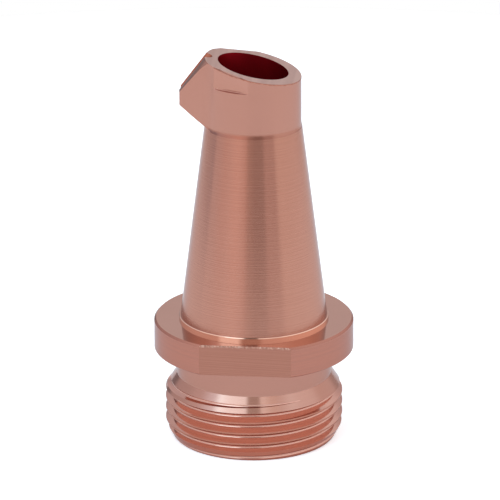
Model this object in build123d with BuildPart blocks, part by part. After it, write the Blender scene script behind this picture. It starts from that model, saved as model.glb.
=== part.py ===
"""Laser welding nozzle: a turned and milled copper nozzle for a hand-held laser welding head.

The nozzle is one piece. It is turned from bar with an M16x1 thread, a spanner flange, a long
taper and a flared head. A cutter then runs round the head, which leaves a wire horn on one side
of a plain barrel. The mouth is cut off obliquely, and a half-round wire groove runs down the
horn. A straight rear bore, a long taper and a mouth bore pass right through it.

Frame: millimetres, +Z towards the mouth, the origin at the centre of the threaded end face.
The wire horn points to -X, and the two spanner flats of the flange face -Y and +Y.
"""
import os
from math import cos, radians, sin, tan

from build123d import *

# Thread and neck
thread_major_radius = 8.0
thread_pitch = 1.0
thread_depth = 0.6134 * thread_pitch
lead_angle = 25.0
end_edge_chamfer = 0.12
neck_radius = 7.0
neck_start = 6.0
runout_angle = 34.6

# Flange with two spanner flats
flange_radius = 9.0
flange_underside = 8.35
flange_thickness = 2.8
flange_edge_chamfer = 0.18
across_flats = 16.0

# Taper and the low collar at its foot
collar_radius = 6.75
collar_height = 0.32
taper_foot_radius = 6.65
taper_top_radius = 4.36
taper_length = 18.3

# Head: the flare that was turned, before the cutter left the horn of it
barrel_radius = 4.3
horn_reach = 6.6
horn_underside_angle = 41.0
horn_nose_height = 1.22
horn_top_angle = 53.6

# Plan of the horn: a blunt wedge that runs into the barrel in two hollow corners
horn_nose_half_width = 1.25
horn_side_angle = 14.0
horn_root_radius = 2.5
plan_overshoot = 1.0

# Oblique mouth
mouth_height = 34.81
mouth_tilt = 12.25
blank_overshoot = 1.0

# Wire groove down the horn
groove_radius = 0.6

# Two shallow flats milled beside the mouth
head_flat_angle = 65.5
head_flat_distance = 3.92
head_flat_depth = 1.2

# Bores
mouth_bore_radius = 3.15
mouth_bore_length = 7.8
rear_bore_radius = 6.0
rear_bore_length = 6.5
rear_bore_chamfer = 0.3

# Heights and radii that follow from the sizes above
flange_top = flange_underside + flange_thickness
collar_top = flange_top + collar_height
taper_top = flange_top + taper_length
thread_minor_radius = thread_major_radius - thread_depth
lead_height = (thread_major_radius - thread_minor_radius) / tan(radians(lead_angle))
thread_top = neck_start - (thread_major_radius - neck_radius) / tan(radians(runout_angle))
taper_slope = (taper_foot_radius - taper_top_radius) / taper_length
taper_radius_at_collar = taper_foot_radius - collar_height * taper_slope

flare_rise = (horn_reach - taper_top_radius) * tan(radians(horn_underside_angle))
nose_bottom = taper_top + flare_rise
nose_top = nose_bottom + horn_nose_height
horn_top_rise = (horn_reach - barrel_radius) * tan(radians(horn_top_angle))
horn_top = nose_top + horn_top_rise
blank_top = mouth_height + horn_reach * tan(radians(mouth_tilt)) + blank_overshoot

mouth_bore_start = mouth_height - mouth_bore_length
plan_reach = horn_reach + plan_overshoot
side_slope = tan(radians(horn_side_angle))
plan_tip_half_width = horn_nose_half_width - plan_overshoot * side_slope
plan_root_half_width = horn_nose_half_width + horn_reach * side_slope

# The flare of the head, as turned, from the top of the taper upwards
with BuildPart() as nozzle:
    with BuildSketch(Plane.XZ):
        with BuildLine():
            Polyline(
                (0, taper_top),
                (taper_top_radius, taper_top),
                (horn_reach, nose_bottom),
                (horn_reach, nose_top),
                (barrel_radius, horn_top),
                (barrel_radius, blank_top),
                (0, blank_top),
                close=True,
            )
        make_face()
    revolve(axis=Axis.Z)

    # The cutter's path in plan: the round barrel and the wedge of the horn
    with BuildSketch(Plane.XY.offset(taper_top)) as head_plan:
        Circle(barrel_radius)
        with BuildLine():
            Polyline(
                (0, plan_root_half_width),
                (-plan_reach, plan_tip_half_width),
                (-plan_reach, -plan_tip_half_width),
                (0, -plan_root_half_width),
                close=True,
            )
        make_face()
        root_corners = [
            corner
            for corner in head_plan.vertices()
            if -barrel_radius < corner.X < 0 and abs(corner.Y) > horn_nose_half_width
        ]
        fillet(root_corners, horn_root_radius)
    extrude(amount=blank_top - taper_top, mode=Mode.INTERSECT)

    # Thread blank, neck, flange, collar and taper, turned as one profile
    with BuildSketch(Plane.XZ):
        with BuildLine():
            Polyline(
                (0, 0),
                (thread_minor_radius, 0),
                (thread_major_radius, lead_height),
                (thread_major_radius, thread_top),
                (neck_radius, neck_start),
                (neck_radius, flange_underside),
                (flange_radius, flange_underside),
                (flange_radius, flange_top),
                (collar_radius, flange_top),
                (collar_radius, collar_top),
                (taper_radius_at_collar, collar_top),
                (taper_top_radius, taper_top),
                (0, taper_top),
                close=True,
            )
        make_face()
    revolve(axis=Axis.Z)

    # Broken edges: the flange's rim on both faces and the threaded end
    rim_edges = nozzle.edges().filter_by(GeomType.CIRCLE).filter_by(
        lambda edge: abs(edge.radius - flange_radius) < flange_edge_chamfer
    )
    chamfer(rim_edges, flange_edge_chamfer)
    end_edges = nozzle.edges().filter_by(GeomType.CIRCLE).group_by(Axis.Z)[0]
    chamfer(end_edges, end_edge_chamfer)

    # Spanner flats on both sides of the flange
    flat_depth = flange_radius - across_flats / 2
    with BuildSketch(Plane.XY.offset(flange_underside)):
        with Locations(
            (0, across_flats / 2 + flat_depth / 2),
            (0, -across_flats / 2 - flat_depth / 2),
        ):
            Rectangle(2 * flange_radius, flat_depth)
    extrude(amount=flange_thickness, mode=Mode.SUBTRACT)

    # Oblique mouth, highest on the horn's side
    mouth_plane = Plane(
        origin=(0, 0, mouth_height),
        x_dir=(cos(radians(mouth_tilt)), 0, -sin(radians(mouth_tilt))),
        z_dir=(sin(radians(mouth_tilt)), 0, cos(radians(mouth_tilt))),
    )
    split(bisect_by=mouth_plane, keep=Keep.BOTTOM)

    # Shallow flats beside the mouth, one on each side of the horn
    head_flat_floor = mouth_height - head_flat_depth
    head_flat_cut = barrel_radius - head_flat_distance
    with BuildSketch(Plane.XY.offset(head_flat_floor)):
        with PolarLocations(
            head_flat_distance + head_flat_cut / 2,
            2,
            start_angle=180 - head_flat_angle,
            angular_range=2 * head_flat_angle,
            endpoint=True,
        ):
            Rectangle(head_flat_cut, 2 * barrel_radius)
    extrude(amount=blank_top - head_flat_floor, mode=Mode.SUBTRACT)

    # Half-round wire groove, its axis on the sloping top of the horn
    groove_direction = (cos(radians(horn_top_angle)), 0, sin(radians(horn_top_angle)))
    groove_plane = Plane(
        origin=(-horn_reach, 0, nose_top),
        x_dir=(0, 1, 0),
        z_dir=groove_direction,
    )
    with BuildSketch(groove_plane):
        Circle(groove_radius)
    extrude(amount=horn_reach, both=True, mode=Mode.SUBTRACT)

    # Passage: rear bore, inner taper and mouth bore
    with BuildSketch(Plane.XZ):
        with BuildLine():
            Polyline(
                (0, 0),
                (rear_bore_radius + rear_bore_chamfer, 0),
                (rear_bore_radius, rear_bore_chamfer),
                (rear_bore_radius, rear_bore_length),
                (mouth_bore_radius, mouth_bore_start),
                (mouth_bore_radius, blank_top),
                (0, blank_top),
                close=True,
            )
        make_face()
    revolve(axis=Axis.Z, mode=Mode.SUBTRACT)

os.makedirs("parts", exist_ok=True)
nozzle.part.label = "nozzle_body"
export_step(nozzle.part, "parts/nozzle_body.step")
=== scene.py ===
"""Looks of the copper laser welding nozzle: its turned body, thread, milled head and finishes.

The nozzle is one piece of copper, so one mesh stands for the CAD node. It is made the way the real
part is: a profile is spun into the turned body, a coil of V section cuts the thread, and mill
shaped cutters take away what the real cutters take. All shaping is done in millimetres.
"""
from __future__ import annotations

import logging
import math
import random
from dataclasses import dataclass, field
from enum import Enum, IntEnum
from typing import Iterable, Sequence

import bmesh
import bpy
from mathutils import Matrix, Vector

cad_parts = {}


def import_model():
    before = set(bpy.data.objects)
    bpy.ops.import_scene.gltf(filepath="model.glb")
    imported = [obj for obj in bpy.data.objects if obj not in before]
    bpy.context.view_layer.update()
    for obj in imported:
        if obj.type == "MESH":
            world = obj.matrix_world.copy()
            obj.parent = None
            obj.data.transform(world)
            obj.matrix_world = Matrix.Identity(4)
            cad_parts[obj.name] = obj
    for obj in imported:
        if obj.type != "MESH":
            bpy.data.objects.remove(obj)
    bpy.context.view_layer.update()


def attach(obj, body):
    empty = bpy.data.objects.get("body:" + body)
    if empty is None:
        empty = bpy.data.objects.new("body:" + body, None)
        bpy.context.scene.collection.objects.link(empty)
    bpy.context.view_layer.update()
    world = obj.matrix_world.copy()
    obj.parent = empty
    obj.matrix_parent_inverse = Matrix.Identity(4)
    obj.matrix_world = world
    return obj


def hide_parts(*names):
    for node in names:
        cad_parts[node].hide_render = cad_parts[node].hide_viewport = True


LOG = logging.getLogger("nozzle")
MM = 0.001
CAD_NODE = "nozzle_body"
BODY = "root"
# Points closer than this, in millimetres, are one point: within a new shape, and after the cuts
WELD = 1e-5
CUT_WELD = 2e-4
# Edges shorter than this, in millimetres, are dissolved after the cuts
SLIVER = 1e-4

Colour = tuple[float, float, float]
Stops = Sequence[tuple[float, Colour]]


# Colour and node helpers


def linear(hex_colour: str) -> tuple[float, float, float, float]:
    """Turn an sRGB hex colour into linear light.

    Args:
        hex_colour: six hex digits, with or without a leading hash.

    Returns:
        The colour as linear red, green, blue and an alpha of 1.
    """
    digits = hex_colour.lstrip("#")
    parts = [int(digits[i : i + 2], 16) / 255 for i in (0, 2, 4)]
    lit = [c / 12.92 if c <= 0.04045 else ((c + 0.055) / 1.055) ** 2.4 for c in parts]
    return (lit[0], lit[1], lit[2], 1.0)


def add_node(
    tree: bpy.types.NodeTree, kind: str, inputs: dict | None = None, stops: Stops = (), **settings,
) -> bpy.types.Node:
    """Add one node with its settings, values and links.

    Args:
        tree: the node tree that gets the node.
        kind: the node's type name.
        inputs: socket name or index to a value, or to the output socket that feeds it.
        stops: for a node with a colour ramp, pairs of a place from 0 to 1 and a linear colour.
        settings: the node's own attributes.

    Returns:
        The new node.
    """
    node = tree.nodes.new(kind)
    for name, value in settings.items():
        setattr(node, name, value)
    for key, value in (inputs or {}).items():
        if isinstance(value, bpy.types.NodeSocket):
            tree.links.new(value, node.inputs[key])
        else:
            node.inputs[key].default_value = value
    if stops:
        row = node.color_ramp
        row.interpolation = "EASE"
        while len(row.elements) > 1:
            row.elements.remove(row.elements[-1])
        row.elements[0].position = stops[0][0]
        row.elements[0].color = (*stops[0][1], 1)
        for place, colour in stops[1:]:
            row.elements.new(place).color = (*colour, 1)
    return node


# Mesh helpers


class Pen:
    """Draws a flat wire outline in the XZ plane or the XY plane with mesh operators."""

    def __init__(self, start: tuple[float, float], upright: bool = True) -> None:
        """Put the pen down.

        Args:
            start: the first point, in the outline's two coordinates.
            upright: True draws in XZ, False draws in XY.
        """
        self.mesh = bmesh.new()
        self.upright = upright
        self.tip = self.mesh.verts.new(self._place(start))

    def _place(self, point: tuple[float, float]) -> Vector:
        """Give a point of the outline in space."""
        across, along = point
        return Vector((across, 0, along)) if self.upright else Vector((across, along, 0))

    def line(self, *points: tuple[float, float]) -> "Pen":
        """Draw straight lines to the points, one after the other."""
        for point in points:
            grown = bmesh.ops.extrude_vert_indiv(self.mesh, verts=[self.tip])
            self.tip = grown["verts"][0]
            self.tip.co = self._place(point)
        return self

    def arc(self, centre: tuple[float, float], degrees: float, steps: int) -> "Pen":
        """Draw an arc round a centre.

        Args:
            centre: the arc's centre.
            degrees: its angle, positive counter-clockwise as seen in the outline.
            steps: how many straight pieces it has.

        Returns:
            The pen itself.
        """
        axis = Vector((0, -1, 0)) if self.upright else Vector((0, 0, 1))
        grown = bmesh.ops.spin(
            self.mesh, geom=[self.tip], cent=self._place(centre), axis=axis,
            angle=math.radians(degrees), steps=steps, use_duplicate=False,
        )
        self.tip = [v for v in grown["geom_last"] if isinstance(v, bmesh.types.BMVert)][0]
        return self

    def close(self) -> bmesh.types.BMesh:
        """Join the end of the outline to its start and hand over the wire loop."""
        self.mesh.verts.ensure_lookup_table()
        first = self.mesh.verts[0]
        if (self.tip.co - first.co).length < WELD:
            bmesh.ops.remove_doubles(self.mesh, verts=self.mesh.verts, dist=WELD)
        else:
            self.mesh.edges.new((self.tip, first))
        return self.mesh


def tidy_shell(mesh: bmesh.types.BMesh) -> bmesh.types.BMesh:
    """Merge the doubles of a closed shell and turn its faces outwards."""
    bmesh.ops.remove_doubles(mesh, verts=mesh.verts, dist=WELD)
    bmesh.ops.recalc_face_normals(mesh, faces=mesh.faces)
    return mesh


def block(size: Sequence[float], matrix: Matrix) -> bmesh.types.BMesh:
    """Make a box of the given size, placed by a matrix."""
    mesh = bmesh.new()
    scale = Matrix.Diagonal((*size, 1.0))
    bmesh.ops.create_cube(mesh, size=1.0, matrix=matrix @ scale)
    return mesh


def to_object(
    mesh: bmesh.types.BMesh, name: str, material: bpy.types.Material | None = None,
) -> bpy.types.Object:
    """Turn a bmesh into an object in the scene.

    Args:
        mesh: the mesh, which is freed.
        name: the object's name.
        material: the finish of all its faces.

    Returns:
        The new object, at the origin.
    """
    data = bpy.data.meshes.new(name)
    mesh.to_mesh(data)
    mesh.free()
    if material is not None:
        data.materials.append(material)
    thing = bpy.data.objects.new(name, data)
    bpy.context.scene.collection.objects.link(thing)
    return thing


def carve(body: bpy.types.Object, cutters: Iterable[bpy.types.Object]) -> None:
    """Cut each cutter out of a body, and give the cut faces the cutter's finish.

    Args:
        body: the object whose mesh is cut.
        cutters: the objects that are taken away, which are deleted afterwards.
    """
    cutters = list(cutters)
    for cutter in cutters:
        cut = body.modifiers.new(cutter.name, "BOOLEAN")
        cut.operation = "DIFFERENCE"
        cut.solver = "EXACT"
        cut.material_mode = "TRANSFER"
        cut.object = cutter
    graph = bpy.context.evaluated_depsgraph_get()
    shaped = bpy.data.meshes.new_from_object(body.evaluated_get(graph), depsgraph=graph)
    body.modifiers.clear()
    old = body.data
    body.data = shaped
    bpy.data.meshes.remove(old)
    for cutter in cutters:
        data = cutter.data
        bpy.data.objects.remove(cutter)
        bpy.data.meshes.remove(data)


# Finishes


class Lay(Enum):
    """Which way the tool marks of a finish run."""

    ROUND = "rings round the turning axis"
    LEVEL = "level strokes of a milling cutter"
    TORN = "tears across an edge"
    EVEN = "no direction"


@dataclass(frozen=True)
class CopperFinish:
    """Bare copper with one machined surface.

    The colour is the one that copper shows by its first reflection, except in finishes whose
    colour is made lighter or darker to paint the light or shade of their zone. The second
    reflection in a groove or a corner is redder by itself.
    """

    name: str
    colour: str
    roughness: float
    anisotropy: float = 0.0
    lay: Lay = Lay.EVEN
    spacing_mm: float = 0.2
    mark_depth_mm: float = 0.0
    mark_tint: float = 0.0
    grain_mm: float = 0.12
    grain_depth_mm: float = 0.0
    tarnish: str = "a87466"
    tarnish_share: float = 0.12
    edge_tint: str = "e1e1e3"

    def material(self) -> bpy.types.Material:
        """Build the finish's material.

        Returns:
            The new material.
        """
        made = bpy.data.materials.new(self.name)
        made.use_nodes = True
        tree = made.node_tree
        tree.nodes.clear()
        place = add_node(tree, "ShaderNodeTexCoord").outputs["Object"]
        shader = add_node(tree, "ShaderNodeBsdfPrincipled", {
            "Metallic": 1.0, "Roughness": self.roughness, "Anisotropic": self.anisotropy,
            "Specular Tint": linear(self.edge_tint),
        })
        # Handling leaves copper a little darker in soft patches some millimetres wide
        patches = add_node(tree, "ShaderNodeTexNoise", {
            "Vector": place, "Scale": 1 / (3 * MM), "Detail": 3.0,
        }).outputs["Fac"]
        share = add_node(tree, "ShaderNodeMath", {
            0: patches, 1: self.tarnish_share,
        }, operation="MULTIPLY")
        marks = self._marks(tree, place)
        # The tool marks darken the colour along their lines: partly the marks' own tone, partly
        # painted shade
        tarnish_and_mark_shade = add_node(tree, "ShaderNodeMath", {
            0: marks, 1: self.mark_tint, 2: share.outputs[0],
        }, operation="MULTIPLY_ADD")
        tint = add_node(tree, "ShaderNodeMix", {
            "Factor": tarnish_and_mark_shade.outputs[0], "A": linear(self.colour), "B": linear(self.tarnish),
        }, data_type="RGBA")
        tree.links.new(tint.outputs[2], shader.inputs["Base Color"])
        if self.anisotropy:
            self._lay_along(tree, place, shader)
        if self.mark_depth_mm or self.grain_depth_mm:
            tree.links.new(self._relief(tree, place, marks), shader.inputs["Normal"])
        out = add_node(tree, "ShaderNodeOutputMaterial")
        tree.links.new(shader.outputs[0], out.inputs["Surface"])
        return made

    def _lay_along(
        self, tree: bpy.types.NodeTree, place: bpy.types.NodeSocket, shader: bpy.types.Node,
    ) -> None:
        """Spread the gloss across the tool marks, as fine grooves do."""
        if self.lay is Lay.ROUND:
            flat = add_node(tree, "ShaderNodeVectorMath", {
                0: place, 1: (1, 1, 0),
            }, operation="MULTIPLY")
            ring = add_node(tree, "ShaderNodeVectorMath", {
                0: (0, 0, 1), 1: flat.outputs[0],
            }, operation="CROSS_PRODUCT")
            facing = add_node(tree, "ShaderNodeNewGeometry").outputs["Normal"]
            across = add_node(tree, "ShaderNodeVectorMath", {
                0: ring.outputs[0], 1: facing,
            }, operation="CROSS_PRODUCT")
        else:
            across = add_node(tree, "ShaderNodeVectorMath", {
                0: (0, 0, 1), 1: (0, 0, 0),
            }, operation="ADD")
        tree.links.new(across.outputs[0], shader.inputs["Tangent"])

    def _marks(
        self, tree: bpy.types.NodeTree, place: bpy.types.NodeSocket,
    ) -> bpy.types.NodeSocket:
        """Give the tool marks, from 0 to 1: lines side by side, none quite like the next."""
        across = {
            Lay.LEVEL: (0.03, 0.0, 1.0),
            Lay.TORN: (1.0, 0.6, 0.3),
        }.get(self.lay, (0.0, 0.0, 1.0))
        height = add_node(tree, "ShaderNodeVectorMath", {
            0: place, 1: across,
        }, operation="DOT_PRODUCT")
        steps = add_node(tree, "ShaderNodeMath", {
            0: height.outputs["Value"], 1: 1 / (self.spacing_mm * MM),
        }, operation="MULTIPLY")
        lines = add_node(tree, "ShaderNodeTexNoise", {
            "W": steps.outputs[0], "Scale": 1.3, "Detail": 1.0, "Roughness": 0.4,
        }, noise_dimensions="1D")
        return add_node(tree, "ShaderNodeMapRange", {
            "Value": lines.outputs["Fac"], "From Min": 0.3, "From Max": 0.7,
        }, interpolation_type="SMOOTHSTEP").outputs[0]

    def _relief(
        self, tree: bpy.types.NodeTree, place: bpy.types.NodeSocket, marks: bpy.types.NodeSocket,
    ) -> bpy.types.NodeSocket:
        """Give the normal with the tool marks and the grain of the cut surface."""
        grain = add_node(tree, "ShaderNodeTexNoise", {
            "Vector": place, "Scale": 1 / (self.grain_mm * MM), "Detail": 2.0,
        })
        rough = add_node(tree, "ShaderNodeMath", {
            0: grain.outputs["Fac"], 1: self.grain_depth_mm * MM,
        }, operation="MULTIPLY")
        height = add_node(tree, "ShaderNodeMath", {
            0: marks, 1: self.mark_depth_mm * MM, 2: rough.outputs[0],
        }, operation="MULTIPLY_ADD")
        return add_node(tree, "ShaderNodeBump", {
            "Height": height.outputs[0], "Strength": 1.0, "Distance": 1.0,
        }).outputs[0]


@dataclass
class CopperFinishes:
    """The finishes of the nozzle, each made once."""

    # Fine turning with a sharp tool: the gloss runs up and down the taper in streaks
    turned: bpy.types.Material = field(default_factory=lambda: CopperFinish(
        "turned_copper", "c68d7a", 0.19, 0.85, Lay.ROUND, 0.14, 0.0010, 0.20,
        tarnish="a06c5b", tarnish_share=0.10).material())
    # Turned with a fresh tool: nearly a mirror
    bright: bpy.types.Material = field(default_factory=lambda: CopperFinish(
        "bright_turned_copper", "c08b7a", 0.14, 0.3, Lay.ROUND, 0.12, 0.0002, 0.1).material())
    # The plain neck: as finely turned; its darker colour is painted shade of the shadowed table it
    # reflects
    neck: bpy.types.Material = field(default_factory=lambda: CopperFinish(
        "neck_turned_copper_painted_shade", "ba8474", 0.22, 0.3, Lay.ROUND, 0.12, 0.0004, 0.1).material())
    # The faced top of the flange: nearly a mirror; its pale colour is painted reflection,
    # brightening what it mirrors
    faced: bpy.types.Material = field(default_factory=lambda: CopperFinish(
        "faced_copper_painted_reflection", "f3c3ae", 0.10, 0.0, Lay.ROUND, 0.12, 0.0, 0.05, 0.2, 0.0003).material())
    # The walls of the thread: their pale colour is painted reflection of the light between the
    # walls
    groove: bpy.types.Material = field(default_factory=lambda: CopperFinish(
        "thread_wall_copper_painted_reflection", "dda593", 0.11, 0.0, Lay.ROUND, 0.12, 0.0, 0.1).material())
    # The lead-in: its darker, redder colour is painted shade of the shadowed table it reflects
    lead: bpy.types.Material = field(default_factory=lambda: CopperFinish(
        "lead_in_copper_painted_shade", "bd705a", 0.22, 0.0, Lay.ROUND, 0.12, 0.0002, 0.2,
        0.3, 0.0006).material())
    # The flange's rim: turned; its darker colour is painted shade of the shadowed table it reflects
    rim: bpy.types.Material = field(default_factory=lambda: CopperFinish(
        "rim_turned_copper_painted_shade", "b87a69", 0.26, 0.3, Lay.ROUND, 0.3, 0.0006, 0.3,
        0.25, 0.0012).material())
    # Contour milled barrel and horn: an even satin
    milled: bpy.types.Material = field(default_factory=lambda: CopperFinish(
        "milled_copper", "bf8776", 0.18, 0.0, Lay.EVEN, 0.25, 0.0, 0.03, 0.16, 0.0016).material())
    # The two shallow flats of the head, cut with a fresh end mill
    head_flats: bpy.types.Material = field(default_factory=lambda: CopperFinish(
        "head_flat_copper", "c68e7d", 0.2, 0.0, Lay.EVEN, 0.25, 0.0, 0.03, 0.16, 0.0014).material())
    # Spanner flats: level strokes of the cutter; their darker colour is painted shade of the table
    # they reflect
    flats: bpy.types.Material = field(default_factory=lambda: CopperFinish(
        "flat_milled_copper_painted_shade", "b67c6a", 0.28, 0.4, Lay.LEVEL, 0.09, 0.0016, 0.35, 0.15, 0.0016,
        tarnish="925c4c").material())
    # The oblique mouth: cut across with a coarser cutter, paler and duller
    mouth: bpy.types.Material = field(default_factory=lambda: CopperFinish(
        "mouth_milled_copper", "f0cdbe", 0.34, 0.0, Lay.EVEN, 0.2, 0.0, 0.2,
        0.2, 0.0030).material())
    # The wire groove, polished by the wire; its darker orange colour is painted reflection of the
    # copper round it
    wire: bpy.types.Material = field(default_factory=lambda: CopperFinish(
        "wire_groove_copper_painted_reflection", "b4694f", 0.3, 0.0, Lay.EVEN, 0.2, 0.0, 0.2, 0.2, 0.0006).material())
    # The bore sends light back only after many reflections, which leave a deep red: its colour and
    # edge tint paint that red
    bore: bpy.types.Material = field(default_factory=lambda: CopperFinish(
        "bore_copper_painted_interreflection", "b81c28", 0.42, tarnish="961018", tarnish_share=0.3,
        edge_tint="803038").material())
    # The thread's crests: darker and redder than the walls
    crest: bpy.types.Material = field(default_factory=lambda: CopperFinish(
        "thread_crest_copper", "bd7a65", 0.24, 0.0, Lay.ROUND, 0.12, 0.0002, 0.2).material())
    # The torn upper edge of a spanner flat: dull facets that show as one pale line
    burr: bpy.types.Material = field(default_factory=lambda: CopperFinish(
        "burr_copper", "cf9884", 0.45, 0.0, Lay.TORN, 0.35, 0.0, 0.5, 0.1, 0.0030,
        tarnish="8a5240", tarnish_share=0.1).material())
    # The torn outer edge of the mouth, warmer than the faces that meet there
    torn: bpy.types.Material = field(default_factory=lambda: CopperFinish(
        "torn_edge_copper", "c4836d", 0.26, 0.0, Lay.TORN, 0.35, 0.0, 0.35, 0.12, 0.0020,
        tarnish="8e5848", tarnish_share=0.1).material())


# The nozzle


@dataclass
class ThreadGroove:
    """The V groove of the M16x1 thread, right-hand, which runs out over the chamfer by the neck."""

    pitch: float = 1.0
    root_radius: float = 7.42
    root_rounding: float = 0.17
    flank_degrees: float = 60.0
    outer_radius: float = 8.06
    first_height: float = -0.415
    turns: int = 7
    steps_per_turn: int = 180
    rounding_steps: int = 20

    def build(self, material: bpy.types.Material) -> bpy.types.Object:
        """Make the coil that cuts the groove.

        Args:
            material: the finish of the groove.

        Returns:
            The coil as a closed solid.
        """
        half = math.radians(self.flank_degrees / 2)
        hub = self.root_radius + self.root_rounding
        touch_r = hub - self.root_rounding * math.sin(half)
        touch_z = self.root_rounding * math.cos(half)
        edge_z = touch_z + (self.outer_radius - touch_r) * math.tan(half)
        pen = Pen((self.outer_radius, edge_z)).line((touch_r, touch_z))
        pen.arc((hub, 0.0), 180 - self.flank_degrees, self.rounding_steps)
        section = pen.line((self.outer_radius, -edge_z)).close()
        bmesh.ops.translate(section, verts=section.verts, vec=(0, 0, self.first_height))
        steps = self.turns * self.steps_per_turn
        bmesh.ops.spin(
            section, geom=list(section.edges) + list(section.verts), cent=(0, 0, 0), axis=(0, 0, 1),
            dvec=(0, 0, self.pitch / self.steps_per_turn), angle=math.tau * self.turns, steps=steps,
            use_duplicate=False,
        )
        bmesh.ops.holes_fill(section, edges=[e for e in section.edges if e.is_boundary])
        return to_object(tidy_shell(section), "thread_cutter", material)


class Zone(IntEnum):
    """A part of the turned body with a finish of its own, numbered as its material slot."""

    TAPER = 0
    RUNOUT = 1
    RIM = 2
    BORE = 3
    FACED = 4
    LEAD = 5
    NECK = 6
    CREST = 7


@dataclass
class TurnedBody:
    """The nozzle as it leaves the lathe: thread blank, neck, flange, taper, flare and passage."""

    thread_radius: float = 8.0
    end_radius: float = 7.387
    end_chamfer: float = 0.12
    lead_height: float = 1.3155
    thread_top: float = 4.5504
    neck_radius: float = 7.0
    neck_start: float = 6.0
    flange_radius: float = 9.0
    flange_underside: float = 8.35
    flange_top: float = 11.15
    flange_chamfer: float = 0.18
    underside_chamfer: float = 0.08
    collar_radius: float = 6.75
    collar_top: float = 11.47
    collar_chamfer: float = 0.06
    taper_foot: float = 6.61
    taper_radius: float = 4.36
    taper_top: float = 29.45
    nose_reach: float = 6.6
    nose_bottom: float = 31.397
    nose_top: float = 32.617
    barrel_radius: float = 4.3
    flare_top: float = 35.737
    blank_top: float = 37.3
    mouth_bore: float = 3.15
    mouth_bore_start: float = 27.01
    rear_bore: float = 6.0
    rear_bore_depth: float = 6.5
    rear_chamfer: float = 0.3
    steps: int = 240
    # How far a face's middle lies beyond the edge of a zone, at least
    margin: float = 0.01
    # A wall of the passage faces the turning axis by more than this, as a cosine
    inward: float = 0.2

    def outline(self) -> bmesh.types.BMesh:
        """Draw the section of the turned body, which is a closed loop round its wall."""
        chamfer, under = self.flange_chamfer, self.underside_chamfer
        edge = self.collar_top - self.collar_chamfer
        pen = Pen((self.end_radius - self.end_chamfer, 0.0)).line(
            (self.end_radius, self.end_chamfer),
            (self.thread_radius, self.lead_height),
            (self.thread_radius, self.thread_top),
            (self.neck_radius, self.neck_start),
            (self.neck_radius, self.flange_underside),
            (self.flange_radius - under, self.flange_underside),
            (self.flange_radius, self.flange_underside + under),
            (self.flange_radius, self.flange_top - chamfer),
            (self.flange_radius - chamfer, self.flange_top),
            (self.collar_radius, self.flange_top),
            (self.collar_radius, edge),
            (self.collar_radius - self.collar_chamfer, self.collar_top),
            (self.taper_foot, self.collar_top),
            (self.taper_radius, self.taper_top),
            (self.nose_reach, self.nose_bottom),
            (self.nose_reach, self.nose_top),
            (self.barrel_radius, self.flare_top),
            (self.barrel_radius, self.blank_top),
            (self.mouth_bore, self.blank_top),
            (self.mouth_bore, self.mouth_bore_start),
            (self.rear_bore, self.rear_bore_depth),
            (self.rear_bore, self.rear_chamfer),
            (self.rear_bore + self.rear_chamfer, 0.0),
        )
        return pen.close()

    def build(self, finishes: CopperFinishes) -> bpy.types.Object:
        """Spin the section round the turning axis.

        Args:
            finishes: the materials of the nozzle.

        Returns:
            The turned body, closed, with a finish on every face.
        """
        section = self.outline()
        bmesh.ops.spin(
            section, geom=list(section.edges) + list(section.verts), cent=(0, 0, 0), axis=(0, 0, 1),
            angle=math.tau, steps=self.steps, use_merge=True, use_duplicate=False,
        )
        tidy_shell(section)
        zones = {
            Zone.TAPER: finishes.turned,
            Zone.RUNOUT: finishes.bright,
            Zone.RIM: finishes.rim,
            Zone.BORE: finishes.bore,
            Zone.FACED: finishes.faced,
            Zone.LEAD: finishes.lead,
            Zone.NECK: finishes.neck,
            Zone.CREST: finishes.crest,
        }
        for face in section.faces:
            face.material_index = self._zone(face)
        body = to_object(section, "nozzle")
        for zone in Zone:
            body.data.materials.append(zones[zone])
        return body

    def _zone(self, face: bmesh.types.BMFace) -> Zone:
        """Tell in which zone a face of the turned body lies."""
        middle = face.calc_center_median()
        out = Vector((middle.x, middle.y, 0)).normalized()
        if face.normal.dot(out) < -self.inward and middle.z > self.rear_chamfer:
            return Zone.BORE
        if middle.z > self.collar_top + self.margin:
            return Zone.TAPER
        if middle.z > self.flange_top - self.margin:
            return Zone.FACED
        if self.flange_underside < middle.z < self.flange_top:
            return Zone.RIM
        if middle.z < self.lead_height:
            return Zone.LEAD
        if middle.z > self.neck_start + self.margin:
            return Zone.NECK
        if middle.z < self.thread_top:
            return Zone.CREST
        return Zone.RUNOUT


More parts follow.
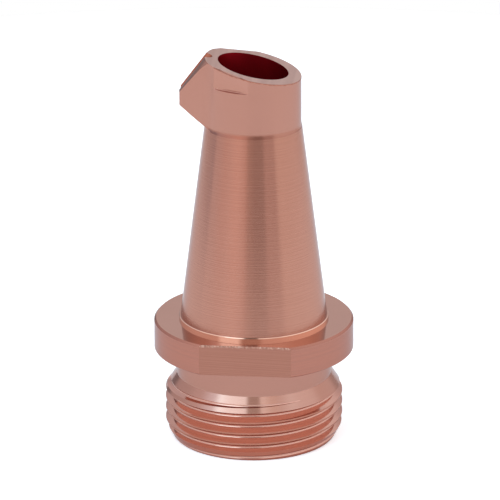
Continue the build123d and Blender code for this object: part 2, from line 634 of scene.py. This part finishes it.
@dataclass
class HeadMilling:
    """The cutters that make the head: the horn's plan, mouth, flats and wire groove."""

    barrel_radius: float = 4.3
    # The contour cut runs out softly at its foot: height, and size compared with the plan
    foot: tuple[tuple[float, float], ...] = (
        (29.33, 1.0125), (29.50, 1.0055), (29.66, 1.0015), (29.84, 1.0),
    )
    horn_reach: float = 6.6
    nose_half_width: float = 1.25
    side_degrees: float = 14.0
    root_rounding: float = 2.5
    reach: float = 7.6
    corner_steps: int = 24
    barrel_steps: int = 220
    outer_radius: float = 12.0
    outer_sides: int = 96
    top: float = 38.0
    waste: float = 20.0
    mouth_height: float = 34.81
    mouth_tilt: float = 12.25
    flat_degrees: float = 65.5
    flat_distance: float = 3.92
    flat_floor: float = 33.51
    flat_corner: float = 0.07
    flat_corner_segments: int = 14
    flat_block: tuple[float, float, float] = (2.0, 8.4, 6.0)
    groove_radius: float = 0.6
    groove_height: float = 32.617
    groove_rise: float = 53.6
    groove_length: float = 14.0
    groove_sides: int = 48

    def plan(self) -> bmesh.types.BMesh:
        """Draw the head's plan: the barrel, and the wedge of the horn in two hollow corners."""
        slope = math.radians(self.side_degrees)
        # The side line: y = a + x * tan(slope) for the horn towards -X, and its hollow corner
        nose = self.nose_half_width - (self.reach - self.horn_reach) * math.tan(slope)
        line_at_axis = self.nose_half_width + self.horn_reach * math.tan(slope)
        # The corner's centre lies one rounding outside the side line and the barrel
        reach = self.barrel_radius + self.root_rounding
        offset = line_at_axis * math.cos(slope) + self.root_rounding
        along = -math.sqrt(reach**2 - offset**2)
        centre = Vector((
            along * math.cos(slope) - offset * math.sin(slope),
            along * math.sin(slope) + offset * math.cos(slope),
        ))
        to_side = centre + self.root_rounding * Vector((math.sin(slope), -math.cos(slope)))
        on_barrel = centre.normalized() * self.barrel_radius
        corner = math.degrees((on_barrel - centre).angle_signed(to_side - centre))
        barrel = math.degrees(math.atan2(on_barrel.y, on_barrel.x))
        pen = Pen((-self.reach, nose), upright=False)
        pen.line((to_side.x, to_side.y))
        pen.arc((centre.x, centre.y), corner, self.corner_steps)
        pen.arc((0.0, 0.0), -2 * barrel, self.barrel_steps)
        pen.arc((centre.x, -centre.y), corner, self.corner_steps)
        pen.line((-self.reach, -nose))
        return pen.close()

    def plan_cutter(self, material: bpy.types.Material) -> bpy.types.Object:
        """Make the ring that the contour mill sweeps: all round the plan, from its foot up."""
        ring = self.plan()
        low = self.foot[0][0]
        bmesh.ops.translate(ring, verts=ring.verts, vec=(0, 0, low))
        bmesh.ops.create_circle(
            ring, cap_ends=False, radius=self.outer_radius, segments=self.outer_sides,
            matrix=Matrix.Translation((0, 0, low)),
        )
        bmesh.ops.triangle_fill(
            ring, use_beauty=True, use_dissolve=False, edges=list(ring.edges), normal=(0, 0, 1),
        )
        caps = list(ring.faces)
        rises = [*self.foot[1:], (self.top, 1.0)]
        self._size_inner(list(ring.verts), self.foot[0][1])
        for step, (height, size) in enumerate(rises):
            before = self.foot[0] if step == 0 else rises[step - 1]
            grown = bmesh.ops.extrude_face_region(ring, geom=caps, use_keep_orig=step == 0)
            raised = [v for v in grown["geom"] if isinstance(v, bmesh.types.BMVert)]
            if step:
                bmesh.ops.delete(ring, geom=caps, context="FACES")
            caps = [f for f in grown["geom"] if isinstance(f, bmesh.types.BMFace)]
            bmesh.ops.translate(ring, verts=raised, vec=(0, 0, height - before[0]))
            self._size_inner(raised, size / before[1])
        return to_object(tidy_shell(ring), "plan_cutter", material)

    def _size_inner(self, verts: Iterable[bmesh.types.BMVert], size: float) -> None:
        """Scale the points of the plan, not those of the outer circle, about the turning axis."""
        for vert in verts:
            if vert.co.xy.length < self.outer_radius - 1:
                vert.co.xy *= size

    def mouth_cutter(self, material: bpy.types.Material) -> bpy.types.Object:
        """Make the block above the oblique mouth."""
        tilt = Matrix.Rotation(math.radians(self.mouth_tilt), 4, "Y")
        above = Matrix.Translation((0, 0, self.waste / 2))
        place = Matrix.Translation((0, 0, self.mouth_height)) @ tilt @ above
        size = (2 * self.waste, 2 * self.waste, self.waste)
        return to_object(block(size, place), "mouth_cutter", material)

    def flat_cutters(self, material: bpy.types.Material) -> list[bpy.types.Object]:
        """Make the two blocks of the flats beside the mouth, with the cutter's round corner."""
        made = []
        deep, _, tall = self.flat_block
        middle = Matrix.Translation((self.flat_distance + deep / 2, 0, self.flat_floor + tall / 2))
        for side in (-1, 1):
            turn = Matrix.Rotation(math.radians(180 + side * self.flat_degrees), 4, "Z")
            cutter = block(self.flat_block, turn @ middle)
            near = [e for e in cutter.edges if all(self._at_corner(v.co, turn) for v in e.verts)]
            bmesh.ops.bevel(
                cutter, geom=near, offset=self.flat_corner, offset_type="OFFSET",
                affect="EDGES", segments=self.flat_corner_segments, profile=0.5, material=-1,
            )
            made.append(to_object(cutter, f"flat_cutter_{side}", material))
        return made

    def _at_corner(self, point: Vector, turn: Matrix) -> bool:
        """Tell whether a point lies on the corner between a flat and its floor."""
        local = turn.inverted() @ point
        return local.x < self.flat_distance + 0.01 and local.z < self.flat_floor + 0.01

    def groove_cutter(self, material: bpy.types.Material) -> bpy.types.Object:
        """Make the round cutter of the wire groove, along the horn's sloping top."""
        mesh = bmesh.new()
        lean = Matrix.Rotation(math.radians(90 - self.groove_rise), 4, "Y")
        place = Matrix.Translation((-self.horn_reach, 0, self.groove_height)) @ lean
        bmesh.ops.create_cone(
            mesh, cap_ends=True, segments=self.groove_sides, radius1=self.groove_radius,
            radius2=self.groove_radius, depth=self.groove_length, matrix=place,
        )
        return to_object(mesh, "groove_cutter", material)

    def cutters(self, finishes: CopperFinishes) -> list[bpy.types.Object]:
        """Make all the head's cutters in the order in which they cut."""
        return [
            self.plan_cutter(finishes.milled),
            self.groove_cutter(finishes.wire),
            self.mouth_cutter(finishes.mouth),
            *self.flat_cutters(finishes.head_flats),
        ]


@dataclass
class SpannerFlats:
    """The two flats milled across the flange."""

    across: float = 16.0
    length: float = 20.0
    depth: float = 3.0
    low: float = 8.0
    high: float = 11.6

    def cutters(self, material: bpy.types.Material) -> list[bpy.types.Object]:
        """Make the two blocks outside the flats."""
        made = []
        middle = (self.low + self.high) / 2
        for side in (-1, 1):
            place = Matrix.Translation((0, side * (self.across + self.depth) / 2, middle))
            cutter = block((self.length, self.depth, self.high - self.low), place)
            made.append(to_object(cutter, f"spanner_cutter_{side}", material))
        return made


@dataclass
class TornEdge:
    """The upper edge of a spanner flat, which the cutter tore off in small bright facets."""

    half_length: float = 4.1
    face: float = 8.0
    height: float = 11.15
    slope_degrees: float = 26.0
    depth: float = 0.07
    tear: float = 0.07
    thickness: float = 0.4
    cuts: int = 170
    seed: int = 11

    def cutters(self, material: bpy.types.Material) -> list[bpy.types.Object]:
        """Make the ragged bar that breaks the edge of each flat.

        Args:
            material: the finish of the torn facets.

        Returns:
            The bars for the front and the back flat.
        """
        dice = random.Random(self.seed)
        made = []
        for side, turn in (("front", 0.0), ("back", math.pi)):
            lean = Matrix.Rotation(-math.radians(self.slope_degrees), 4, "X")
            corner = Matrix.Translation((0, -self.face, self.height))
            out = Matrix.Translation((0, self.depth - self.thickness / 2, 0))
            bar = block((2 * self.half_length, self.thickness, self.thickness), Matrix.Identity(4))
            along = [e for e in bar.edges if e.calc_length() > self.half_length]
            bmesh.ops.subdivide_edges(bar, edges=along, cuts=self.cuts, use_grid_fill=True)
            for vert in bar.verts:
                if vert.co.y > 0:
                    vert.co.y += self.tear * (dice.random() - 0.5)
            whole = Matrix.Rotation(turn, 4, "Z") @ corner @ lean @ out
            bmesh.ops.transform(bar, matrix=whole, verts=bar.verts)
            made.append(to_object(bar, f"{side}_edge_cutter", material))
        return made


@dataclass
class MouthBurr:
    """The fine torn line round the lower outer edge of the oblique mouth."""

    radius: float = 4.3
    mouth_height: float = 34.81
    mouth_tilt: float = 12.25
    first_degrees: float = -150.0
    sweep_degrees: float = 190.0
    width: float = 0.16
    proud: float = 0.012
    below: float = 0.01
    # How ragged the lower edge is, compared with the width
    ragged: float = 0.7
    # How deep the ends sink into the barrel, compared with how proud the burr stands
    sunk: float = 2.5
    steps: int = 260
    seed: int = 5

    def build(self, finishes: CopperFinishes) -> bpy.types.Object:
        """Make the burr: a small square is spun round the barrel and leant to the mouth.

        Args:
            finishes: the materials of the nozzle.

        Returns:
            The burr, in metres, riding on the nozzle's body.
        """
        low, high = self.mouth_height - self.width, self.mouth_height - self.below
        inner, outer = self.radius - self.width, self.radius + self.proud
        ring = Pen((inner, low)).line((outer, low), (outer, high), (inner, high)).close()
        start = Matrix.Rotation(math.radians(self.first_degrees), 4, "Z")
        bmesh.ops.transform(ring, matrix=start, verts=ring.verts)
        bmesh.ops.spin(
            ring, geom=list(ring.edges) + list(ring.verts), cent=(0, 0, 0), axis=(0, 0, 1),
            angle=math.radians(self.sweep_degrees), steps=self.steps, use_duplicate=False,
        )
        bmesh.ops.holes_fill(ring, edges=[e for e in ring.edges if e.is_boundary])
        lean = math.tan(math.radians(self.mouth_tilt))
        dice = random.Random(self.seed)
        for vert in ring.verts:
            turn = math.degrees(math.atan2(vert.co.y, vert.co.x)) - self.first_degrees
            share = turn / self.sweep_degrees
            fade = math.sin(math.pi * min(max(share, 0.0), 1.0)) ** 0.5
            if vert.co.xy.length > self.radius - self.proud:
                sunk = self.sunk * (1 - fade) - dice.random() * fade
                vert.co.xy *= 1 - self.proud * sunk / self.radius
            if vert.co.z < self.mouth_height - self.width / 2:
                vert.co.z += self.width * self.ragged * (dice.random() * fade + 1 - fade)
            vert.co.z -= vert.co.x * lean
            vert.co *= MM
        piece = to_object(tidy_shell(ring), "mouth_burr", finishes.torn)
        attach(piece, BODY)
        LOG.info("mouth burr: %d faces", len(piece.data.polygons))
        return piece


@dataclass
class Nozzle:
    """The whole nozzle, from the turned body to the finished mesh."""

    turned: TurnedBody = field(default_factory=TurnedBody)
    thread: ThreadGroove = field(default_factory=ThreadGroove)
    head: HeadMilling = field(default_factory=HeadMilling)
    flats: SpannerFlats = field(default_factory=SpannerFlats)
    torn_edge: TornEdge = field(default_factory=TornEdge)
    sharp_degrees: float = 7.5

    def build(self, finishes: CopperFinishes) -> bpy.types.Object:
        """Make the nozzle and hand it to the CAD frame.

        Args:
            finishes: the materials of the nozzle.

        Returns:
            The finished piece, in metres.
        """
        body = self.turned.build(finishes)
        carve(body, [self.thread.build(finishes.groove)])
        carve(body, self.flats.cutters(finishes.flats))
        carve(body, self.torn_edge.cutters(finishes.burr))
        carve(body, self.head.cutters(finishes))
        self._finish(body)
        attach(body, BODY)
        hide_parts(CAD_NODE)
        LOG.info("nozzle: %d faces", len(body.data.polygons))
        return body

    def _finish(self, body: bpy.types.Object) -> None:
        """Merge doubles, bring the mesh to metres and mark its sharp edges."""
        mesh = bmesh.new()
        mesh.from_mesh(body.data)
        bmesh.ops.remove_doubles(mesh, verts=mesh.verts, dist=CUT_WELD)
        bmesh.ops.dissolve_degenerate(mesh, edges=mesh.edges, dist=SLIVER)
        bmesh.ops.scale(mesh, verts=mesh.verts, vec=(MM, MM, MM))
        limit = math.radians(self.sharp_degrees)
        for face in mesh.faces:
            face.smooth = True
        for edge in mesh.edges:
            edge.smooth = edge.is_manifold and edge.calc_face_angle() < limit
        open_edges = sum(not e.is_manifold for e in mesh.edges)
        LOG.info("nozzle: %d open edges", open_edges)
        mesh.to_mesh(body.data)
        mesh.free()


# Studio


@dataclass
class Studio:
    """The floor, the light tent and the camera."""

    camera_turn: float = 5.77
    camera_rise: float = 19.631
    camera_roll: float = -0.170
    distance: float = 500.0
    focal_px: float = 5570.738
    image_px: float = 500.0
    aim_height: float = 20.0
    offset: tuple[float, float] = (0.323, 2.396)
    sensor: float = 36.0
    clip: tuple[float, float] = (0.02, 20.0)
    floor_radius: float = 130.0
    floor_sides: int = 96
    floor_white: Colour = (0.92, 0.92, 0.92)
    # The strength that the floor gains for camera rays, and for the copper's reflections
    floor_lift: float = 0.45
    floor_shine: float = 0.17

    def camera(self) -> None:
        """Place the camera at the photograph's viewing angle."""
        rise, roll = math.radians(self.camera_rise), math.radians(self.camera_roll)
        turn = Matrix.Rotation(math.radians(self.camera_turn), 3, "Z")
        ahead = turn @ Vector((0, math.cos(rise), -math.sin(rise)))
        right = turn @ Vector((1, 0, 0))
        up = turn @ Vector((0, math.sin(rise), math.cos(rise)))
        right, up = (
            math.cos(roll) * right + math.sin(roll) * up,
            -math.sin(roll) * right + math.cos(roll) * up,
        )
        aim = Vector((0, 0, self.aim_height))
        spot = aim - ahead * self.distance - right * self.offset[0] - up * self.offset[1]
        data = bpy.data.cameras.new("camera")
        data.sensor_width = self.sensor
        data.lens = self.focal_px * self.sensor / self.image_px
        data.clip_start, data.clip_end = self.clip
        camera = bpy.data.objects.new("camera", data)
        place = Matrix((right, up, -ahead)).transposed().to_4x4()
        place.translation = spot * MM
        camera.matrix_world = place
        bpy.context.scene.collection.objects.link(camera)
        bpy.context.scene.camera = camera

    def floor(self) -> None:
        """Lay the white table top, which keeps the nozzle's shadow."""
        mesh = bmesh.new()
        bmesh.ops.create_circle(
            mesh, cap_ends=True, radius=self.floor_radius * MM, segments=self.floor_sides,
        )
        made = bpy.data.materials.new("white_table_laminate")
        made.use_nodes = True
        tree = made.node_tree
        tree.nodes.clear()
        white = add_node(tree, "ShaderNodeBsdfDiffuse", {"Color": (*self.floor_white, 1)})
        ray = add_node(tree, "ShaderNodeLightPath")
        shine = add_node(tree, "ShaderNodeMath", {
            0: ray.outputs["Is Glossy Ray"], 1: self.floor_shine,
        }, operation="MULTIPLY")
        lift = add_node(tree, "ShaderNodeMath", {
            0: ray.outputs["Is Camera Ray"], 1: self.floor_lift, 2: shine.outputs[0],
        }, operation="MULTIPLY_ADD")
        glow = add_node(tree, "ShaderNodeEmission", {
            "Color": (1, 1, 1, 1), "Strength": lift.outputs[0],
        })
        both = add_node(tree, "ShaderNodeAddShader", {0: white.outputs[0], 1: glow.outputs[0]})
        out = add_node(tree, "ShaderNodeOutputMaterial")
        tree.links.new(both.outputs[0], out.inputs["Surface"])
        to_object(mesh, "table_top", made)

    def tent(self) -> None:
        """Light the nozzle with a pale tent: walls, a dark camera slot and soft front lamps.

        The tent's colour is looked up by a ray's bearing from the camera's side, in one row for
        each layer of heights. Camera rays see plain white instead.
        """
        world = bpy.data.worlds.new("light_tent")
        bpy.context.scene.world = world
        world.use_nodes = True
        tree = world.node_tree
        tree.nodes.clear()
        ray = add_node(tree, "ShaderNodeTexCoord").outputs["Generated"]
        turned = add_node(tree, "ShaderNodeMapping", {
            "Vector": ray, "Rotation": (0, 0, math.radians(-self.camera_turn)),
        }, vector_type="POINT")
        parts = add_node(tree, "ShaderNodeSeparateXYZ", {0: turned.outputs[0]})
        ahead = add_node(tree, "ShaderNodeMath", {
            0: parts.outputs["Y"], 1: -1.0,
        }, operation="MULTIPLY")
        angle = add_node(tree, "ShaderNodeMath", {
            0: parts.outputs["X"], 1: ahead.outputs[0],
        }, operation="ARCTAN2")
        bearing = add_node(tree, "ShaderNodeMapRange", {
            "Value": angle.outputs[0], "From Min": -math.pi, "From Max": math.pi,
        }).outputs[0]
        rise = add_node(tree, "ShaderNodeMath", {0: parts.outputs["Z"]}, operation="ARCSINE")
        height = add_node(tree, "ShaderNodeMapRange", {
            "Value": rise.outputs[0], "From Min": -math.pi / 2, "From Max": math.pi / 2,
        }).outputs[0]
        ramp = "ShaderNodeValToRGB"
        colour = add_node(tree, ramp, {"Fac": bearing}, WALLS).outputs["Color"]
        for band, row in LAYERS:
            colour = add_node(tree, "ShaderNodeMix", {
                "Factor": add_node(tree, ramp, {"Fac": height}, band).outputs["Color"],
                "A": colour,
                "B": add_node(tree, ramp, {"Fac": bearing}, row).outputs["Color"],
            }, data_type="RGBA").outputs[2]
        studio = add_node(tree, "ShaderNodeBackground", {"Color": colour, "Strength": 1.0})
        plain = add_node(tree, "ShaderNodeBackground", {"Color": (1, 1, 1, 1), "Strength": 1.0})
        seen = add_node(tree, "ShaderNodeLightPath").outputs["Is Camera Ray"]
        both = add_node(tree, "ShaderNodeMixShader", {
            0: seen, 1: studio.outputs[0], 2: plain.outputs[0],
        })
        out = add_node(tree, "ShaderNodeOutputWorld")
        tree.links.new(both.outputs[0], out.inputs["Surface"])


def bearings(*stops: tuple[float, Colour]) -> list[tuple[float, Colour]]:
    """Turn bearings from the camera, in degrees with the right positive, into ramp places."""
    return [((degrees + 180) / 360, colour) for degrees, colour in stops]


def rises(*stops: tuple[float, float]) -> list[tuple[float, Colour]]:
    """Turn angles above the horizon and their shares into ramp places and greys."""
    return [((degrees + 90) / 180, (share, share, share)) for degrees, share in stops]


# The tent's walls by bearing from the camera: a dark slot for the camera, plain cloth elsewhere
WALLS = bearings(
    (-180, (1.00, 0.93, 0.94)),
    (-170, (1.00, 0.93, 0.94)),
    (-160, (0.40, 0.40, 0.43)),
    (-146, (0.36, 0.37, 0.41)),
    (-122, (0.37, 0.39, 0.48)),
    (-98, (0.40, 0.42, 0.54)),
    (-88, (0.72, 0.72, 0.80)),
    (-58, (0.88, 0.77, 0.77)),
    (-34, (0.99, 0.80, 0.75)),
    (-20, (0.89, 0.72, 0.68)),
    (-7, (0.52, 0.44, 0.42)),
    (3, (0.40, 0.33, 0.32)),
    (18, (0.37, 0.30, 0.29)),
    (27, (0.62, 0.54, 0.54)),
    (43, (0.62, 0.54, 0.54)),
    (54, (0.94, 0.92, 0.91)),
    (100, (0.93, 0.92, 0.94)),
    (134, (0.73, 0.70, 0.69)),
    (158, (0.62, 0.57, 0.58)),
    (170, (1.00, 0.93, 0.94)),
    (180, (1.00, 0.93, 0.94)),
)
# The walls above the camera slot, which is half dark here
UPPER = bearings(
    (-180, (0.58, 0.55, 0.58)),
    (-146, (0.72, 0.74, 0.80)),
    (-98, (0.78, 0.82, 0.90)),
    (-60, (0.80, 0.80, 0.85)),
    (-50, (1.20, 1.50, 1.70)),
    (-26, (1.20, 1.50, 1.70)),
    (-16, (0.55, 0.50, 0.50)),
    (6, (0.55, 0.50, 0.50)),
    (16, (0.80, 0.80, 0.85)),
    (90, (0.95, 0.95, 0.98)),
    (134, (0.95, 0.96, 1.00)),
    (165, (0.60, 0.57, 0.60)),
    (180, (0.58, 0.55, 0.58)),
)
# The soft lamps in front, left and right of the camera, with the gap between them
LAMPS = bearings(
    (-180, (0.58, 0.55, 0.58)),
    (-130, (0.80, 0.84, 0.88)),
    (-100, (0.95, 1.00, 1.06)),
    (-72, (1.00, 1.06, 1.12)),
    (-65, (1.64, 2.22, 2.55)),
    (-14, (1.64, 2.22, 2.55)),
    (-10, (0.68, 0.69, 0.69)),
    (8, (0.68, 0.69, 0.69)),
    (12, (1.32, 1.54, 1.65)),
    (32, (1.08, 1.12, 1.12)),
    (46, (1.00, 1.03, 1.07)),
    (90, (1.00, 1.06, 1.10)),
    (140, (0.80, 0.85, 0.90)),
    (180, (0.58, 0.55, 0.58)),
)
# The lamps' bright lower edges, which the thread's grooves and the flange's top show
SKIRTS = bearings(
    (-180, (0.58, 0.55, 0.58)),
    (-140, (0.68, 0.72, 0.80)),
    (-90, (0.90, 0.95, 1.05)),
    (-66, (1.20, 1.55, 1.90)),
    (-52, (2.10, 3.60, 4.50)),
    (-26, (2.10, 3.60, 4.50)),
    (-18, (0.55, 0.65, 0.75)),
    (3, (0.55, 0.65, 0.75)),
    (11, (1.30, 1.70, 1.95)),
    (40, (1.35, 1.70, 1.90)),
    (80, (1.15, 1.28, 1.38)),
    (130, (0.95, 1.00, 1.05)),
    (180, (0.58, 0.55, 0.58)),
)
# The lamps' upper edges with the dark gap between them, the ceiling and the table
ROOF = bearings(
    (-180, (0.70, 0.70, 0.72)),
    (-72, (0.80, 0.85, 0.90)),
    (-64, (1.50, 1.80, 2.00)),
    (-34, (1.50, 1.80, 2.00)),
    (-22, (0.15, 0.15, 0.15)),
    (8, (0.15, 0.15, 0.15)),
    (13, (0.90, 0.90, 0.90)),
    (36, (0.95, 0.98, 1.00)),
    (60, (0.80, 0.82, 0.85)),
    (180, (0.70, 0.70, 0.72)),
)
CEILING = bearings((0, (0.70, 0.70, 0.72)))
TABLE = bearings((0, (0.93, 0.93, 0.93)))
# Each layer's share at each angle above the horizon, from the walls upwards, and the table last
LAYERS = (
    (rises((4, 0.0), (10, 1.0)), UPPER),
    (rises((23, 0.0), (28, 1.0)), SKIRTS),
    (rises((40, 0.0), (44, 1.0)), LAMPS),
    (rises((58, 0.0), (64, 1.0)), ROOF),
    (rises((78, 0.0), (84, 1.0)), CEILING),
    (rises((-12.5, 1.0), (-8, 0.0)), TABLE),
)


def main() -> None:
    logging.basicConfig(level=logging.INFO, format="%(name)s %(message)s")
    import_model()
    studio = Studio()
    studio.camera()
    studio.floor()
    studio.tent()
    bpy.context.scene.view_settings.view_transform = "Standard"
    finishes = CopperFinishes()
    Nozzle().build(finishes)
    MouthBurr().build(finishes)


if __name__ == "__main__":
    main()
